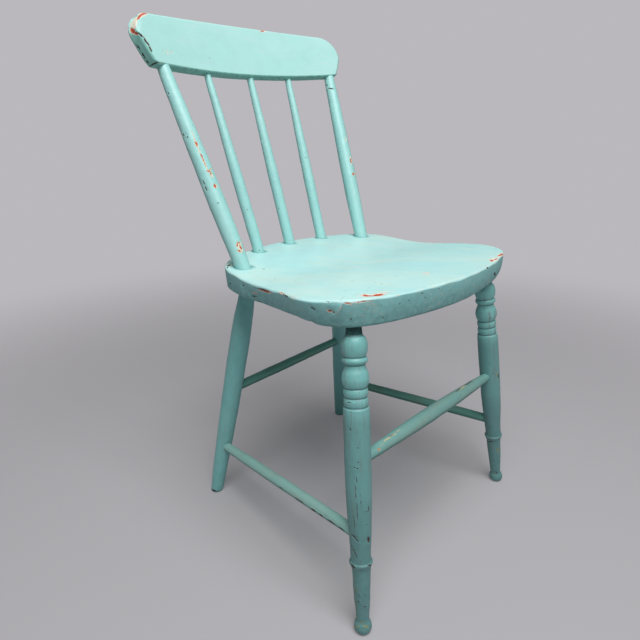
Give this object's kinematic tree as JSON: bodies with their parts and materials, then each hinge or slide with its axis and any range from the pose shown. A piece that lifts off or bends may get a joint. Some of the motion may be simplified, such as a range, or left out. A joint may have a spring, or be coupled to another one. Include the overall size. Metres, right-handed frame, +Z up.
{
  "type": "spindle-back chair",
  "caption": "Plank-seat kitchen chair with a spindle back, turned front legs and stretchers, in worn and peeling turquoise paint.",
  "frame": {"origin": "on the floor, under the middle of the chair's bounding box", "axes": "+Z up, the sitter faces -Y, +X is the right side for someone looking at the chair's front"},
  "size_m": [0.4418, 0.4958, 0.8004],
  "materials": {
    "back_paint": "brushed turquoise paint over older coats, chipped at the edges",
    "leg_paint": "brushed turquoise paint, satin, with dark chips",
    "stretcher_paint": "thin dull green-turquoise paint, rubbed"
  },
  "bodies": {
    "root": {"seat": "back_paint", "crest_rail": "back_paint", "back_post_left": "back_paint", "back_post_right": "back_paint", "spindle_left": "back_paint", "spindle_middle": "back_paint", "spindle_right": "back_paint", "front_leg_left": "leg_paint", "front_leg_right": "leg_paint", "rear_leg_left": "leg_paint", "rear_leg_right": "leg_paint", "front_stretcher": "stretcher_paint", "rear_stretcher": "stretcher_paint", "side_stretcher_left": "stretcher_paint", "side_stretcher_right": "stretcher_paint"}
  },
  "joints": []
}
